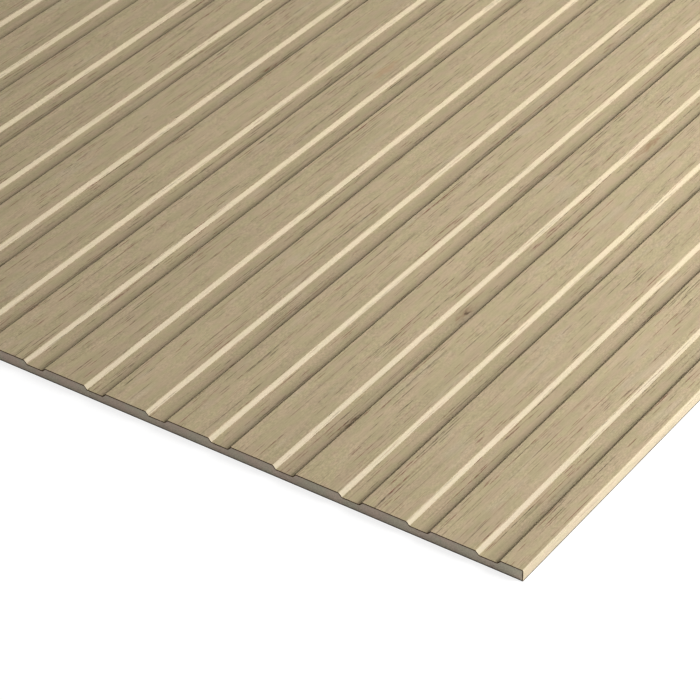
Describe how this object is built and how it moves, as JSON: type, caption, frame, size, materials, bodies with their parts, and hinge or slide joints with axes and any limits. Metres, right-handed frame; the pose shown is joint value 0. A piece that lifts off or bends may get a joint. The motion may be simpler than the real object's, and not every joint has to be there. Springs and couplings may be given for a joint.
{
  "type": "veneer slat panel",
  "caption": "Flat rectangular wood-veneered wall panel with shallow straight grooves along its length that leave wide flat slats with bevelled edges.",
  "frame": {"origin": "centre of the panel's flat back, which lies on the floor", "axes": "+X across the slats, +Y along the slats and the panel's length, +Z out of the back towards the grooved face"},
  "size_m": [1.2, 2.4, 0.0086],
  "materials": {
    "fibreboard_core": "sawn medium-density fibreboard",
    "oak_face": "matt lacquered light oak veneer",
    "backing_leaf": "plain unfinished balancing veneer"
  },
  "bodies": {
    "root": {"core_board": "fibreboard_core", "face_veneer": "oak_face", "backing_veneer": "backing_leaf"}
  },
  "joints": []
}
